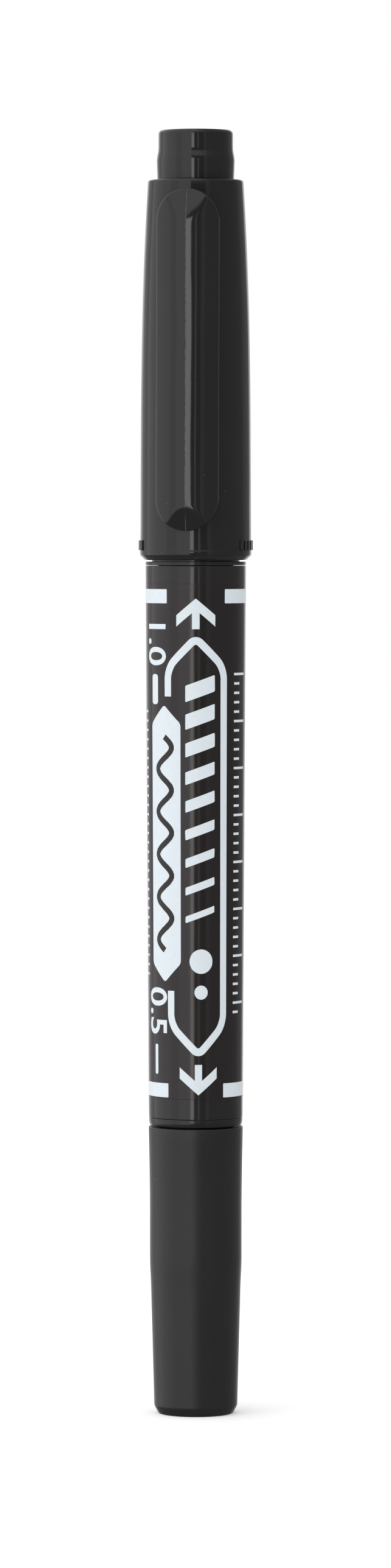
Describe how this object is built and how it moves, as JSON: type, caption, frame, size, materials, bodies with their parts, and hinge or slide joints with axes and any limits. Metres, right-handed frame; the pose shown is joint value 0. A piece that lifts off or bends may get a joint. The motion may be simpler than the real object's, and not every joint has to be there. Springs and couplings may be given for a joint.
{
  "type": "felt tip marker",
  "caption": "Twin-tip felt marker with a long clip cap over a bullet nib, a short cap over a fine nib, and a pull-out ink cartridge.",
  "frame": {"origin": "centre of the small cap's flat end face, on which the marker stands", "axes": "+Z along the pen towards the big cap and tail plug; the pocket clip faces -Y"},
  "size_m": [0.0122, 0.0135, 0.137],
  "materials": {
    "black_plastic": "polished",
    "satin_plastic": "satin",
    "printed_film": "semi-gloss printed film",
    "cartridge_plastic": "natural moulded",
    "clear_wrap": "thin film",
    "ink_fibre": "ink-soaked fibre",
    "felt_nib": "pressed felt",
    "nib_plastic": "hard fibre plastic",
    "nib_steel": "drawn",
    "seal_rubber": "matt",
    "liner_plastic": "natural moulded"
  },
  "bodies": {
    "barrel": {"barrel": "black_plastic", "label_film": "printed_film", "fine_section": "black_plastic"},
    "cartridge": {"cartridge_tube": "cartridge_plastic", "ink_wadding": "ink_fibre", "wadding_wrap": "clear_wrap", "bullet_end_plug": "cartridge_plastic", "bullet_nib": "felt_nib", "fine_end_plug": "cartridge_plastic", "fine_feed_wick": "ink_fibre", "fine_nib_sleeve": "nib_steel", "fine_nib": "nib_plastic"},
    "bullet_section": {"bullet_section": "black_plastic", "section_seal_ring": "seal_rubber"},
    "big_cap": {"big_cap": "black_plastic", "big_cap_liner": "liner_plastic", "tail_plug": "black_plastic"},
    "clip": {"clip": "black_plastic"},
    "small_cap": {"small_cap": "satin_plastic", "small_cap_liner": "liner_plastic"}
  },
  "joints": [
    {"name": "refill_pull", "type": "slide", "parent": "barrel", "child": "cartridge", "axis": [0, 0, 1], "range_m": [0, 0.086]},
    {"name": "section_pull", "type": "slide", "parent": "cartridge", "child": "bullet_section", "axis": [0, 0, 1], "range_m": [0, 0.04]},
    {"name": "big_cap_pull", "type": "slide", "parent": "bullet_section", "child": "big_cap", "axis": [0, 0, 1], "range_m": [0, 0.032]},
    {"name": "clip_flex", "type": "hinge", "parent": "big_cap", "child": "clip", "pos_m": [0, -0.00481, 0.12723], "axis": [-1, 0, 0], "range_deg": [0, 5], "stiffness_Nm_per_rad": 0.3},
    {"name": "small_cap_pull", "type": "slide", "parent": "barrel", "child": "small_cap", "axis": [0, 0, -1], "range_m": [0, 0.026]}
  ]
}
